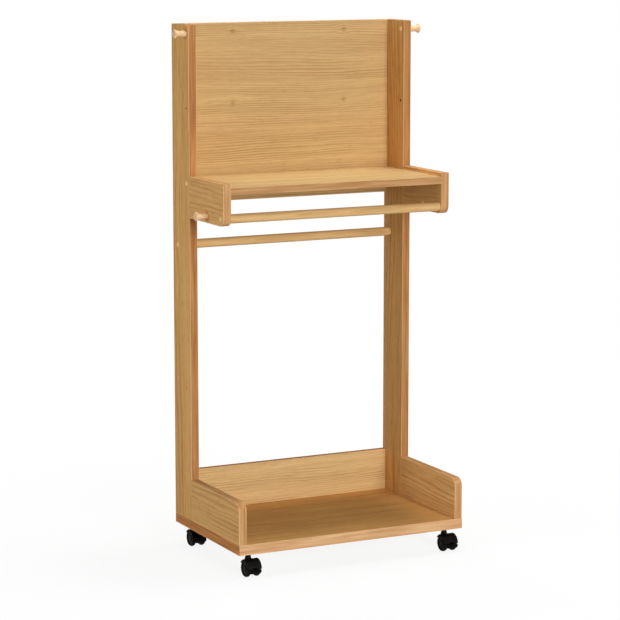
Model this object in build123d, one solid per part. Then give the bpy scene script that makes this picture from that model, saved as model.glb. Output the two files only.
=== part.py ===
from build123d import *
import math
import os

# Rolling clothes rack: wooden boards on four twin-wheel casters.
# Millimetres. The front faces -Y, +X is to the right and +Z is up.
# The origin is on the floor, below the centre of the whole footprint.

# Overall sizes
WIDTH = 600.0
BASE_DEPTH = 375.0
HEIGHT = 1280.0
CASTER_HEIGHT = 55.0

# Boards
BOARD = 20.0
BASE_BOARD = 25.0
PANEL_BOARD = 15.0
SHELF_BOARD = 18.0
ARRIS = 1.0
POST_DEPTH = 100.0
WING_HEIGHT = 100.0
WING_SETBACK = 2.0
LOWER_PANEL_HEIGHT = 105.0
SHELF_TOP_Z = 912.0
BRACKET_LENGTH = 195.0
BRACKET_HEIGHT = 100.0
BRACKET_LIP = 9.0
UPPER_PANEL_DROP = 46.0
CORNER_RADIUS = 20.0
SHELF_NOSING = 2.0

# Hanging rods
ROD_RADIUS = 11.0
FRONT_ROD_SETBACK = 16.0
FRONT_ROD_RISE = 17.0
REAR_ROD_INSET = 27.5
REAR_ROD_Z = 749.0

# Turned pegs
PEG_LENGTH = 31.0
PEG_RADIUS = 7.5
PEG_HEAD_RADIUS = 11.25
PEG_NECK = 20.0
PEG_RIM = 3.5
PEG_CROWN_RADIUS = 68.0
PEG_CROWN_REACH = 8.5
PEG_SETBACK = 16.0
PEG_DROP = 21.0
SPARE_PEG_STEP = 177.0
BRACKET_PEG_SETBACK = 93.0

# Screws, caps and dowels
SCREW_RADIUS = 2.0
SCREW_HEAD_RADIUS = 3.75
SCREW_HEAD = 3.0
RECESS_REACH = 4.4
RECESS_WIDTH = 1.0
RECESS_DEPTH = 1.6
SCREW_BITE = 24.0
CLEARANCE_RADIUS = 2.5
COUNTERBORE_RADIUS = 4.25
COUNTERBORE = 6.0
CAP_RADIUS = 5.5
CAP_DOME = 1.2
CAP_PLUG = 2.0
DOWEL_RADIUS = 4.0
DOWEL_DEPTH = 15.0
PANEL_DOWEL_DEPTH = 12.0
FIT = 0.05

# Casters
STEM_INSET_X = 35.0
STEM_INSET_Y = 28.0
TRAIL = 16.0
WHEEL_RADIUS = 20.0
WHEEL_INNER_X = 7.5
WHEEL_OUTER_X = 18.0
WHEEL_HUB_RADIUS = 6.0
WHEEL_RIM = 3.5
WHEEL_DISH = 2.5
WHEEL_CROWN = 2.5
WHEEL_WALL = 3.0
AXLE_RADIUS = 2.5
AXLE_HALF = 15.8
WEB_HALF = 7.0
HOOD_HALF = 18.5
HOOD_RADIUS = 22.5
WHEEL_WELL_RADIUS = 20.8
HOOD_EDGE_ROUND = 1.2
WEB_BOTTOM_Z = 10.0
WEB_CORNER = 4.0
NECK_RADIUS = 6.5
NECK_TOP_Z = 53.0
NECK_FLARE_RADIUS = 10.0
NECK_FLARE_FOOT = 13.5
NECK_FLARE_RISE = 12.0
STEM_RADIUS = 4.0
STEM_FOOT_Z = 30.0
SOCKET_RADIUS = 5.5
SOCKET_DEPTH = 20.0
SOCKET_FLANGE_RADIUS = 9.0
SOCKET_FLANGE = 1.0
COLLAR_RADIUS = 6.0
COLLAR_GAP = 0.2

# Fender and brake angles, in degrees from straight ahead, upwards positive
FENDER_BACK = 150.0
FENDER_FRONT = -18.0
FENDER_FRONT_BRAKED = 5.0

# Brake lever
LEVER_PIVOT_REACH = 12.5
LEVER_PIVOT_ANGLE = -8.0
LEVER_INNER_RADIUS = 22.4
LEVER_OUTER_RADIUS = 24.4
LEVER_TOP = 0.0
LEVER_BOTTOM = -15.0
LEVER_HALF = 16.5
LEVER_ARM_HALF = 4.0
LEVER_SLOT_HALF = 4.5
LEVER_BOSS_RADIUS = 3.5
LEVER_TRUNNION_RADIUS = 1.5
LEVER_TRUNNION_HALF = 6.6
LEVER_REACH = 28.0
LEVER_TAB_HALF = 13.5
LEVER_TAB = 3.0
LEVER_TAB_ROUND = 2.5
LEVER_TAB_Z = 14.0
PAD_RADIUS = 20.6
PAD_TOP = -4.0
PAD_BOTTOM = -10.0
PAD_INNER_X = 8.5
PAD_OUTER_X = 16.0
LEVER_RELIEF_RADIUS = 19.5
SLOT_INNER_RADIUS = 7.5
SLOT_TOP = 12.0
SLOT_BOTTOM = -60.0

# Places that follow from the sizes above
LEVER_OVERHANG = TRAIL + LEVER_REACH - STEM_INSET_Y
BACK_Y = (BASE_DEPTH + LEVER_OVERHANG) / 2
BASE_FRONT_Y = BACK_Y - BASE_DEPTH
POST_FRONT_Y = BACK_Y - POST_DEPTH
PANEL_FRONT_Y = BACK_Y - PANEL_BOARD
BRACKET_FRONT_Y = POST_FRONT_Y - BRACKET_LENGTH
OUTER_X = WIDTH / 2
INNER_X = OUTER_X - BOARD
BASE_Z = CASTER_HEIGHT
FLOOR_Z = BASE_Z + BASE_BOARD
WING_TOP_Z = FLOOR_Z + WING_HEIGHT
LOWER_PANEL_TOP_Z = FLOOR_Z + LOWER_PANEL_HEIGHT
SHELF_Z = SHELF_TOP_Z - SHELF_BOARD
SHELF_MID_Z = SHELF_TOP_Z - SHELF_BOARD / 2
BRACKET_TOP_Z = SHELF_TOP_Z + BRACKET_LIP
BRACKET_Z = BRACKET_TOP_Z - BRACKET_HEIGHT
UPPER_PANEL_Z = SHELF_Z - UPPER_PANEL_DROP
FRONT_ROD_Y = BRACKET_FRONT_Y + FRONT_ROD_SETBACK
FRONT_ROD_Z = BRACKET_Z + FRONT_ROD_RISE
REAR_ROD_Y = BACK_Y - REAR_ROD_INSET
PEG_Y = POST_FRONT_Y + PEG_SETBACK
PEG_Z = HEIGHT - PEG_DROP
SPARE_PEG_Z = PEG_Z - SPARE_PEG_STEP
BRACKET_PEG_Y = BRACKET_FRONT_Y + BRACKET_PEG_SETBACK
WING_FRONT_Y = BASE_FRONT_Y + WING_SETBACK
PANEL_MID_Y = BACK_Y - PANEL_BOARD / 2
SIDES = {"left": -1, "right": 1}
STEM_X = OUTER_X - STEM_INSET_X
STEM_Y = {"front": BASE_FRONT_Y + STEM_INSET_Y, "rear": BACK_Y - STEM_INSET_Y}

# Places of the hidden joints
WING_DOWEL_Z = (FLOOR_Z + 28.0, WING_TOP_Z - 28.0)
BRACKET_DOWEL_Z = (BRACKET_Z + 28.0, BRACKET_TOP_Z - 40.0)
LOWER_PANEL_DOWEL_Z = (FLOOR_Z + 28.0, LOWER_PANEL_TOP_Z - 28.0)
UPPER_PANEL_DOWEL_Z = (UPPER_PANEL_Z + 100.0, HEIGHT - 160.0, HEIGHT - 60.0)
SHELF_DOWEL_Y = (BRACKET_FRONT_Y + 40.0, BRACKET_FRONT_Y + 155.0)
POST_SCREW_Y = (BACK_Y - 72.0, POST_FRONT_Y + 12.0)
WING_SCREW_Y = (WING_FRONT_Y + 60.0, POST_FRONT_Y - 55.0)
PANEL_SCREW_X = (-150.0, 150.0)


def pin(radius, length):
    """Round bar from the local origin along +Z."""
    return Cylinder(radius, length, align=(Align.CENTER, Align.CENTER, Align.MIN))


def along(point, direction):
    """Local frame at a point, with its Z axis along a direction."""
    return Plane(origin=point, z_dir=direction)


def block(x_span, y_span, z_span):
    """Plain box between two limits on each axis."""
    size = [span[1] - span[0] for span in (x_span, y_span, z_span)]
    centre = [(span[0] + span[1]) / 2 for span in (x_span, y_span, z_span)]
    return Pos(*centre) * Box(*size)


def board(x_span, y_span, z_span):
    """Board with softened arrises."""
    plain = block(x_span, y_span, z_span)
    return fillet(plain.edges(), ARRIS)


def side_board(x_span, outline):
    """Upright side board: an outline in the Y-Z plane given its thickness along X."""
    face = Plane.YZ * outline
    solid = Pos(x_span[0], 0, 0) * extrude(face, x_span[1] - x_span[0], dir=(1, 0, 0))
    rims = solid.faces().sort_by(Axis.X)
    return fillet(rims[0].edges() + rims[-1].edges(), ARRIS)


def rounded_outline(y_span, z_span, corner):
    """Rectangle in the Y-Z plane with one front corner rounded, upper or lower."""
    size = (y_span[1] - y_span[0], z_span[1] - z_span[0])
    sheet = Pos(y_span[0] + size[0] / 2, z_span[0] + size[1] / 2) * Rectangle(*size)
    front = sheet.vertices().sort_by(Axis.X)[:2].sort_by(Axis.Y)
    chosen = front[-1] if corner == "upper" else front[0]
    return fillet(chosen, CORNER_RADIUS)


def x_span(side):
    """Limits along X of a side board."""
    return sorted((side * INNER_X, side * OUTER_X))


def counterbored_hole(point, direction):
    """Cutter for a screw that goes through one side board from the given face."""
    bore = pin(COUNTERBORE_RADIUS, COUNTERBORE) + pin(CLEARANCE_RADIUS, BOARD)
    return along(point, direction) * bore


def pilot_hole(point, direction, depth=SCREW_BITE):
    """Cutter for the stretch of a screw that bites into wood."""
    return along(point, direction) * pin(SCREW_RADIUS + FIT, depth)


def dowel_hole(point, direction, depth):
    """Cutter for one half of a dowel."""
    return along(point, direction) * pin(DOWEL_RADIUS + FIT, depth)


def screw(point, direction, grip):
    """Pan-head wood screw with a cross recess: its head seats in a counterbore of the face."""
    shank = pin(SCREW_RADIUS, grip + SCREW_BITE - COUNTERBORE)
    head = Pos(0, 0, -SCREW_HEAD) * pin(SCREW_HEAD_RADIUS, SCREW_HEAD)
    head = fillet(head.edges().sort_by(Axis.Z)[0], SCREW_HEAD / 3)
    slot = Pos(0, 0, RECESS_DEPTH / 2 - SCREW_HEAD) * Box(RECESS_REACH, RECESS_WIDTH, RECESS_DEPTH)
    recess = slot + Rot(0, 0, 90) * slot
    return along(point, direction) * (Pos(0, 0, COUNTERBORE) * (shank + head - recess))


def screw_cap(point, direction):
    """Domed cap over a counterbore, with a plug inside it."""
    dome = Pos(0, 0, -CAP_DOME) * pin(CAP_RADIUS, CAP_DOME)
    dome = fillet(dome.edges().sort_by(Axis.Z)[0], CAP_DOME * 0.8)
    plug = pin(COUNTERBORE_RADIUS - FIT, CAP_PLUG)
    return along(point, direction) * (dome + plug)


def dowel(point, direction, depths):
    """Glued dowel across a joint, with chamfered ends."""
    stick = Pos(0, 0, -depths[0]) * pin(DOWEL_RADIUS, sum(depths))
    ends = stick.edges().filter_by(GeomType.CIRCLE)
    return along(point, direction) * chamfer(ends, 1.0)


def cut(solid, tools):
    """Board with its holes taken out."""
    for tool in tools:
        solid = solid - tool
    return solid


# Where screws and dowels stand, by side

def peg_places(side):
    """Inner-face points of the pegs' screws: post top, spare and bracket."""
    inner = side * INNER_X
    return {
        "top": (inner, PEG_Y, PEG_Z),
        "spare": (inner, PEG_Y, SPARE_PEG_Z),
        "bracket": (inner, BRACKET_PEG_Y, FRONT_ROD_Z),
    }


def outer_places(side):
    """Outer-face points of the screws that hold the shelf and the rods."""
    outer = side * OUTER_X
    return {
        "shelf": (outer, PEG_Y, SHELF_MID_Z),
        "rear_rod": (outer, REAR_ROD_Y, REAR_ROD_Z),
        "front_rod": (outer, FRONT_ROD_Y, FRONT_ROD_Z),
    }


def base_places():
    """Underside points of the screws that go up into posts, wings and lower panel."""
    mid_x = OUTER_X - BOARD / 2
    places = []
    for side in SIDES.values():
        for y in POST_SCREW_Y + WING_SCREW_Y:
            places.append((side * mid_x, y, BASE_Z))
    for x in PANEL_SCREW_X:
        places.append((x, PANEL_MID_Y, BASE_Z))
    return places


def edge_dowels(side, heights):
    """Points on a post's front edge where dowels stand."""
    mid_x = side * (OUTER_X - BOARD / 2)
    return [(mid_x, POST_FRONT_Y, z) for z in heights]


def panel_dowels(side, heights):
    """Points on a post's inner face where a back panel's dowels stand."""
    return [(side * INNER_X, PANEL_MID_Y, z) for z in heights]


def shelf_dowels(side):
    """Points on a bracket's inner face where the shelf's dowels stand."""
    return [(side * INNER_X, y, SHELF_MID_Z) for y in SHELF_DOWEL_Y]


def base_pilots():
    """Cutters above the base for all its screws."""
    return [pilot_hole((x, y, FLOOR_Z), (0, 0, 1)) for x, y, z in base_places()]


# Boards

def make_base_board():
    """Base with its screw holes and the bores of the caster sockets."""
    solid = board((-OUTER_X, OUTER_X), (BASE_FRONT_Y, BACK_Y), (BASE_Z, FLOOR_Z))
    bore = pin(COUNTERBORE_RADIUS, COUNTERBORE) + pin(CLEARANCE_RADIUS, BASE_BOARD)
    holes = [along(place, (0, 0, 1)) * bore for place in base_places()]
    for side in SIDES.values():
        for y in STEM_Y.values():
            sleeve = pin(SOCKET_RADIUS + FIT, SOCKET_DEPTH)
            holes.append(Pos(side * STEM_X, y, BASE_Z) * sleeve)
    return cut(solid, holes)


def make_post(side):
    """Upright board with the holes for peg, shelf, rod, panels, wing and bracket."""
    out = (side, 0, 0)
    inwards = (-side, 0, 0)
    solid = board(x_span(side), (POST_FRONT_Y, BACK_Y), (FLOOR_Z, HEIGHT))
    holes = [counterbored_hole(peg_places(side)[name], out) for name in ("top", "spare")]
    holes += [counterbored_hole(outer_places(side)[name], inwards) for name in ("shelf", "rear_rod")]
    for point in edge_dowels(side, WING_DOWEL_Z + BRACKET_DOWEL_Z):
        holes.append(dowel_hole(point, (0, 1, 0), DOWEL_DEPTH))
    for point in panel_dowels(side, LOWER_PANEL_DOWEL_Z + UPPER_PANEL_DOWEL_Z):
        holes.append(dowel_hole(point, out, PANEL_DOWEL_DEPTH))
    return cut(solid, holes + base_pilots())


def make_base_wing(side):
    """Low side board with its upper front corner rounded."""
    outline = rounded_outline((WING_FRONT_Y, POST_FRONT_Y), (FLOOR_Z, WING_TOP_Z), "upper")
    solid = side_board(x_span(side), outline)
    holes = [dowel_hole(point, (0, -1, 0), DOWEL_DEPTH) for point in edge_dowels(side, WING_DOWEL_Z)]
    return cut(solid, holes + base_pilots())


def make_shelf_bracket(side):
    """Side board that holds the shelf and a rod, with its lower front corner rounded."""
    outline = rounded_outline((BRACKET_FRONT_Y, POST_FRONT_Y), (BRACKET_Z, BRACKET_TOP_Z), "lower")
    solid = side_board(x_span(side), outline)
    holes = [dowel_hole(point, (0, -1, 0), DOWEL_DEPTH) for point in edge_dowels(side, BRACKET_DOWEL_Z)]
    holes += [dowel_hole(point, (side, 0, 0), PANEL_DOWEL_DEPTH) for point in shelf_dowels(side)]
    holes.append(counterbored_hole(peg_places(side)["bracket"], (side, 0, 0)))
    holes.append(counterbored_hole(outer_places(side)["front_rod"], (-side, 0, 0)))
    return cut(solid, holes)


def make_back_panel(z_span, heights):
    """Back panel between the posts, dowelled at both ends."""
    solid = board((-INNER_X, INNER_X), (PANEL_FRONT_Y, BACK_Y), z_span)
    holes = []
    for side in SIDES.values():
        for point in panel_dowels(side, heights):
            holes.append(dowel_hole(point, (-side, 0, 0), DOWEL_DEPTH))
    return cut(solid, holes + base_pilots())


def make_shelf():
    """Shelf with a rounded front edge."""
    solid = block((-INNER_X, INNER_X), (BRACKET_FRONT_Y, PANEL_FRONT_Y), (SHELF_Z, SHELF_TOP_Z))
    front = solid.edges().filter_by(Axis.X).sort_by(Axis.Y)[:2]
    solid = fillet(front, SHELF_NOSING)
    holes = []
    for side in SIDES.values():
        inwards = (-side, 0, 0)
        holes.append(pilot_hole((side * INNER_X, PEG_Y, SHELF_MID_Z), inwards))
        holes += [dowel_hole(point, inwards, DOWEL_DEPTH) for point in shelf_dowels(side)]
    return cut(solid, holes)


# Round wood

def make_rod(y, z):
    """Hanging rod between the two sides, drilled at both ends."""
    solid = along((-INNER_X, y, z), (1, 0, 0)) * pin(ROD_RADIUS, 2 * INNER_X)
    holes = [pilot_hole((side * INNER_X, y, z), (-side, 0, 0)) for side in SIDES.values()]
    return cut(solid, holes)


def make_peg(side, place):
    """Turned peg on an outer face: straight shaft, hollow flare and a crowned head."""
    root = (side * OUTER_X, place[1], place[2])
    shaft_end = (PEG_RADIUS, PEG_NECK)
    rim = (PEG_HEAD_RADIUS, PEG_LENGTH - PEG_RIM)
    crown_angle = math.degrees(math.asin(PEG_CROWN_REACH / PEG_CROWN_RADIUS))
    crown_centre = (0, PEG_LENGTH - PEG_CROWN_RADIUS)
    crown = CenterArc(crown_centre, PEG_CROWN_RADIUS, 90.0 - crown_angle, crown_angle)
    profile = [
        Line((0, 0), (PEG_RADIUS, 0)),
        Line((PEG_RADIUS, 0), shaft_end),
        ThreePointArc(shaft_end, (PEG_RADIUS + 1.3, PEG_NECK + 4.6), rim),
        ThreePointArc(rim, (PEG_HEAD_RADIUS - 0.7, PEG_LENGTH - PEG_RIM / 2), crown @ 0),
        crown,
        Line(crown @ 1, (0, 0)),
    ]
    turned = revolve(Plane.XZ * make_face(profile), Axis.Z)
    turned = turned - pin(SCREW_RADIUS + FIT, SCREW_BITE)
    return along(root, (side, 0, 0)) * turned


# Casters, each drawn with its stem axis on Z and the floor at zero

AXLE_PLACE = Pos(0, -TRAIL, WHEEL_RADIUS)


def wheel_angle(ahead):
    """Angle in the Y-Z plane for an angle measured upwards from straight ahead."""
    return 180.0 - ahead


def side_sector(inner, outer, low, high):
    """Ring sector about the axle, in the Y-Z plane, between two angles from straight ahead."""
    start = wheel_angle(high)
    sweep = high - low
    rim = CenterArc((0, 0), outer, start, sweep)
    hollow = CenterArc((0, 0), inner, start, sweep)
    ends = [Line(rim @ 0, hollow @ 0), Line(rim @ 1, hollow @ 1)]
    return Plane.YZ * make_face([rim, hollow] + ends)


def lever_pivot():
    """Brake pivot in the Y-Z plane, seen from the axle."""
    arc = CenterArc((0, 0), LEVER_PIVOT_REACH, wheel_angle(LEVER_PIVOT_ANGLE), 1.0)
    return arc @ 0


def cross_bar(radius, half):
    """Round bar along X, centred on the axle."""
    return Cylinder(radius, 2 * half, rotation=(0, 90, 0))


def make_hood(braked):
    """Moulded caster body: fender over both wheels, middle web and neck."""
    front = FENDER_FRONT_BRAKED if braked else FENDER_FRONT
    fender = extrude(side_sector(1.0, HOOD_RADIUS, front, FENDER_BACK), HOOD_HALF, both=True)
    rims = fender.edges().filter_by(GeomType.CIRCLE).sort_by(SortBy.RADIUS)[-2:]
    fender = fillet(rims, HOOD_EDGE_ROUND)
    disc = Circle(HOOD_RADIUS)
    keep = Pos(0, WEB_BOTTOM_Z - WHEEL_RADIUS + HOOD_RADIUS) * Rectangle(4 * HOOD_RADIUS, 2 * HOOD_RADIUS)
    web = extrude(Plane.YZ * fillet((disc & keep).vertices(), WEB_CORNER), WEB_HALF, both=True)
    neck_rise = NECK_TOP_Z - WHEEL_RADIUS
    neck = Pos(0, TRAIL, 0) * pin(NECK_RADIUS, neck_rise)
    upright = (Align.CENTER, Align.CENTER, Align.MIN)
    flare = Cone(NECK_FLARE_RADIUS, NECK_RADIUS, NECK_FLARE_RISE, align=upright)
    body = fender + web + neck + Pos(0, TRAIL, NECK_FLARE_FOOT) * flare
    well = cross_bar(WHEEL_WELL_RADIUS, HOOD_HALF / 2)
    for side in SIDES.values():
        body = body - Pos(side * (WEB_HALF + HOOD_HALF / 2), 0, 0) * well
    body = body - cross_bar(AXLE_RADIUS + FIT / 2, HOOD_HALF)
    stem_bore = pin(STEM_RADIUS + FIT / 2, neck_rise)
    body = body - Pos(0, TRAIL, STEM_FOOT_Z - WHEEL_RADIUS) * stem_bore
    if braked:
        slot = side_sector(SLOT_INNER_RADIUS, 2 * HOOD_RADIUS, SLOT_BOTTOM, SLOT_TOP)
        body = body - extrude(slot, LEVER_SLOT_HALF, both=True)
        relief = side_sector(LEVER_RELIEF_RADIUS, 2 * HOOD_RADIUS, SLOT_BOTTOM, FENDER_FRONT_BRAKED)
        body = body - extrude(relief, HOOD_HALF, both=True)
        pivot = lever_pivot()
        body = body - Pos(0, pivot.X, pivot.Y) * cross_bar(LEVER_TRUNNION_RADIUS + FIT, HOOD_HALF)
    return AXLE_PLACE * body


def make_brake_lever():
    """Foot lever across both wheels, with an arm to its pivot in the web and two pads."""
    shell = side_sector(LEVER_INNER_RADIUS, LEVER_OUTER_RADIUS, LEVER_BOTTOM, LEVER_TOP)
    cover = extrude(shell, LEVER_HALF, both=True)
    upright = cover.edges().filter_by(GeomType.LINE)
    corners = [edge for edge in upright if abs(edge.center().X) > LEVER_HALF - 1 and edge.length < 3]
    cover = fillet(corners, (LEVER_OUTER_RADIUS - LEVER_INNER_RADIUS) / 3)
    pivot = lever_pivot()
    boss = Pos(pivot.X, pivot.Y) * Circle(LEVER_BOSS_RADIUS)
    foot = CenterArc((0, 0), LEVER_INNER_RADIUS + 1, wheel_angle(PAD_BOTTOM), PAD_BOTTOM - PAD_TOP)
    link = make_hull(boss.edges() + [Pos(*(foot @ t)) * Circle(1.0).edge() for t in (0, 1)])
    arm = extrude(Plane.YZ * link, LEVER_ARM_HALF, both=True)
    trunnion = Pos(0, pivot.X, pivot.Y) * cross_bar(LEVER_TRUNNION_RADIUS, LEVER_TRUNNION_HALF)
    pad_outline = side_sector(PAD_RADIUS, LEVER_INNER_RADIUS + 0.5, PAD_BOTTOM, PAD_TOP)
    pad = extrude(pad_outline, PAD_OUTER_X - PAD_INNER_X, dir=(1, 0, 0))
    tab_root = LEVER_INNER_RADIUS - 1.0
    tab = block(
        (-LEVER_TAB_HALF, LEVER_TAB_HALF),
        (-LEVER_REACH, -tab_root),
        (LEVER_TAB_Z - WHEEL_RADIUS - LEVER_TAB / 2, LEVER_TAB_Z - WHEEL_RADIUS + LEVER_TAB / 2),
    )
    tip = tab.edges().filter_by(Axis.Z).sort_by(Axis.Y)[:2]
    tab = fillet(tip, LEVER_TAB_ROUND)
    body = cover + arm + trunnion + tab
    body = body + Pos(PAD_INNER_X, 0, 0) * pad + Pos(-PAD_OUTER_X, 0, 0) * pad
    return AXLE_PLACE * body


def make_wheel(side):
    """Caster wheel: crowned tread, dished outer face, hub with a blind bore, hollow inside."""
    rim_radius = WHEEL_RADIUS - WHEEL_RIM
    shoulder = WHEEL_RADIUS - WHEEL_CROWN
    crown = ((WHEEL_INNER_X + WHEEL_OUTER_X) / 2, WHEEL_RADIUS)
    bore = AXLE_RADIUS + FIT
    bore_end = AXLE_HALF + 0.2
    dish_x = WHEEL_OUTER_X - WHEEL_DISH
    hollow_x = dish_x - WHEEL_WALL
    hub_face = WHEEL_OUTER_X - 0.5
    outline = [
        Polyline(
            (WHEEL_INNER_X, bore),
            (WHEEL_INNER_X, WHEEL_HUB_RADIUS),
            (hollow_x, WHEEL_HUB_RADIUS),
            (hollow_x, rim_radius),
            (WHEEL_INNER_X, rim_radius),
            (WHEEL_INNER_X, shoulder),
        ),
        ThreePointArc((WHEEL_INNER_X, shoulder), crown, (WHEEL_OUTER_X, shoulder)),
        Polyline(
            (WHEEL_OUTER_X, shoulder),
            (WHEEL_OUTER_X, rim_radius),
            (dish_x, rim_radius - 1.5),
            (dish_x, WHEEL_HUB_RADIUS + 2.0),
            (hub_face, WHEEL_HUB_RADIUS + 1.0),
            (hub_face, 0),
            (bore_end, 0),
            (bore_end, bore),
            (WHEEL_INNER_X, bore),
        ),
    ]
    turned = revolve(make_face(outline), Axis.X)
    return AXLE_PLACE * (turned if side > 0 else mirror(turned, Plane.YZ))


def make_axle():
    """Steel pin that carries both wheels."""
    axle = cross_bar(AXLE_RADIUS, AXLE_HALF)
    return AXLE_PLACE * chamfer(axle.edges().filter_by(GeomType.CIRCLE), 0.5)


def make_stem():
    """Steel stem with a collar: fixed in the neck, free to turn in the socket."""
    top_z = BASE_Z + SOCKET_DEPTH - 2.0
    stem = Pos(0, 0, STEM_FOOT_Z) * pin(STEM_RADIUS, top_z - STEM_FOOT_Z)
    stem = chamfer(stem.edges().sort_by(Axis.Z)[-1], 1.0)
    collar_top = BASE_Z - SOCKET_FLANGE - COLLAR_GAP
    return stem + Pos(0, 0, NECK_TOP_Z) * pin(COLLAR_RADIUS, collar_top - NECK_TOP_Z)


def make_socket(x, y):
    """Flanged sleeve pressed into the underside of the base."""
    sleeve = pin(SOCKET_RADIUS, SOCKET_DEPTH)
    flange = Pos(0, 0, -SOCKET_FLANGE) * pin(SOCKET_FLANGE_RADIUS, SOCKET_FLANGE)
    bore = Pos(0, 0, -SOCKET_FLANGE) * pin(STEM_RADIUS + FIT, SOCKET_DEPTH)
    return Pos(x, y, BASE_Z) * (sleeve + flange - bore)


# Groups of like pieces

def screw_groups():
    """All screws and caps, by node name."""
    groups = {"peg_screws": [], "rod_screws": [], "shelf_screws": [], "screw_caps": []}
    for side in SIDES.values():
        out = (side, 0, 0)
        inwards = (-side, 0, 0)
        pegs = peg_places(side)
        screws = outer_places(side)
        for name in ("top", "bracket"):
            groups["peg_screws"].append(screw(pegs[name], out, BOARD))
            groups["screw_caps"].append(screw_cap(pegs[name], out))
        for name, point in screws.items():
            node = "shelf_screws" if name == "shelf" else "rod_screws"
            groups[node].append(screw(point, inwards, BOARD))
            groups["screw_caps"].append(screw_cap(point, inwards))
    groups["base_screws"] = [screw(place, (0, 0, 1), BASE_BOARD) for place in base_places()]
    return groups


def dowel_groups():
    """All dowels, by node name."""
    groups = {"wing_dowels": [], "bracket_dowels": [], "panel_dowels": [], "shelf_dowels": []}
    edge = (DOWEL_DEPTH, DOWEL_DEPTH)
    face = (DOWEL_DEPTH, PANEL_DOWEL_DEPTH)
    for side in SIDES.values():
        out = (side, 0, 0)
        for point in edge_dowels(side, WING_DOWEL_Z):
            groups["wing_dowels"].append(dowel(point, (0, 1, 0), edge))
        for point in edge_dowels(side, BRACKET_DOWEL_Z):
            groups["bracket_dowels"].append(dowel(point, (0, 1, 0), edge))
        for point in panel_dowels(side, LOWER_PANEL_DOWEL_Z + UPPER_PANEL_DOWEL_Z):
            groups["panel_dowels"].append(dowel(point, out, face))
        for point in shelf_dowels(side):
            groups["shelf_dowels"].append(dowel(point, out, face))
    return groups


def rack_nodes():
    """Pieces of the rack itself."""
    nodes = {"base_board": make_base_board()}
    for name, side in SIDES.items():
        pegs = peg_places(side)
        nodes[f"{name}_post"] = make_post(side)
        nodes[f"{name}_base_wing"] = make_base_wing(side)
        nodes[f"{name}_shelf_bracket"] = make_shelf_bracket(side)
        nodes[f"top_{name}_peg"] = make_peg(side, pegs["top"])
        nodes[f"{name}_bracket_peg"] = make_peg(side, pegs["bracket"])
    nodes["lower_back_panel"] = make_back_panel((FLOOR_Z, LOWER_PANEL_TOP_Z), LOWER_PANEL_DOWEL_Z)
    nodes["upper_back_panel"] = make_back_panel((UPPER_PANEL_Z, HEIGHT), UPPER_PANEL_DOWEL_Z)
    nodes["shelf_board"] = make_shelf()
    nodes["front_hanging_rod"] = make_rod(FRONT_ROD_Y, FRONT_ROD_Z)
    nodes["rear_hanging_rod"] = make_rod(REAR_ROD_Y, REAR_ROD_Z)
    for name, solids in {**screw_groups(), **dowel_groups()}.items():
        nodes[name] = Compound(children=solids)
    sockets = [make_socket(side * STEM_X, y) for side in SIDES.values() for y in STEM_Y.values()]
    nodes["caster_sockets"] = Compound(children=sockets)
    return nodes


def caster_nodes():
    """Pieces of the four casters; the front pair has brakes."""
    nodes = {}
    for end, y in STEM_Y.items():
        braked = end == "front"
        pieces = {"hood": make_hood(braked), "stem": make_stem(), "axle": make_axle()}
        for name, side in SIDES.items():
            pieces[f"wheel_{name}"] = make_wheel(side)
        if braked:
            pieces["brake_lever"] = make_brake_lever()
        for name, side in SIDES.items():
            for piece, solid in pieces.items():
                nodes[f"{end}_{name}_caster_{piece}"] = Pos(side * STEM_X, y, 0) * solid
    return nodes


def main():
    """Writes each piece to its own file."""
    os.makedirs("parts", exist_ok=True)
    for name, solid in {**rack_nodes(), **caster_nodes()}.items():
        export_step(solid, f"parts/{name}.step")


main()
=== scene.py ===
import math
from typing import NamedTuple

import bmesh
import bpy
from bpy.props import FloatProperty, FloatVectorProperty, IntProperty, PointerProperty
from mathutils import Color, Matrix, Vector


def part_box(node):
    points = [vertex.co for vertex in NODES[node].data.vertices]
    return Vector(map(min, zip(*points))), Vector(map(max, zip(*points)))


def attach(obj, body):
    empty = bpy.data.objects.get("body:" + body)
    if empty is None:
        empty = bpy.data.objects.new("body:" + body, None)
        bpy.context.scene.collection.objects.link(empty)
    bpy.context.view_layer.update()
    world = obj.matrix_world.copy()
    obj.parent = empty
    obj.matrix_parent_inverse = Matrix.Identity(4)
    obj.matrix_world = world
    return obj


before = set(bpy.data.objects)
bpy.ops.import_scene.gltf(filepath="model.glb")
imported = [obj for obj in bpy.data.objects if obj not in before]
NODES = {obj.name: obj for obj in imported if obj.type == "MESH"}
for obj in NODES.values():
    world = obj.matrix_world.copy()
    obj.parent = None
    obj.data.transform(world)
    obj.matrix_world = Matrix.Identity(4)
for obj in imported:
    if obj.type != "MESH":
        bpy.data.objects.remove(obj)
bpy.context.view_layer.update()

bl_info = {
    "name": "Rolling clothes rack",
    "version": (1, 0, 0),
    "blender": (4, 5, 0),
    "location": "View3D > Sidebar > Rack",
    "description": "Finishes, caster details and a studio for the rolling clothes rack",
    "category": "Object",
}

# Names of the imported model's parts, the axes and the millimetre
SIDES = ("left", "right")
ENDS = ("front", "rear")
CASTERS = [f"{end}_{side}_caster" for end in ENDS for side in SIDES]
BRAKED_CASTERS = [f"front_{side}_caster" for side in SIDES]
X, Y, Z = range(3)
MM = 0.001


# Settings that a user may change

def colour(name, description, default):
    """A colour, written as it looks on screen."""
    return FloatVectorProperty(
        name=name, description=description, subtype="COLOR_GAMMA", min=0.0, max=1.0, default=default
    )


def length(name, description, default):
    """A length in metres."""
    return FloatProperty(name=name, description=description, unit="LENGTH", precision=4, default=default)


def angle(name, description, default):
    """An angle, given in degrees and kept in radians."""
    return FloatProperty(name=name, description=description, subtype="ANGLE", default=math.radians(default))


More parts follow.
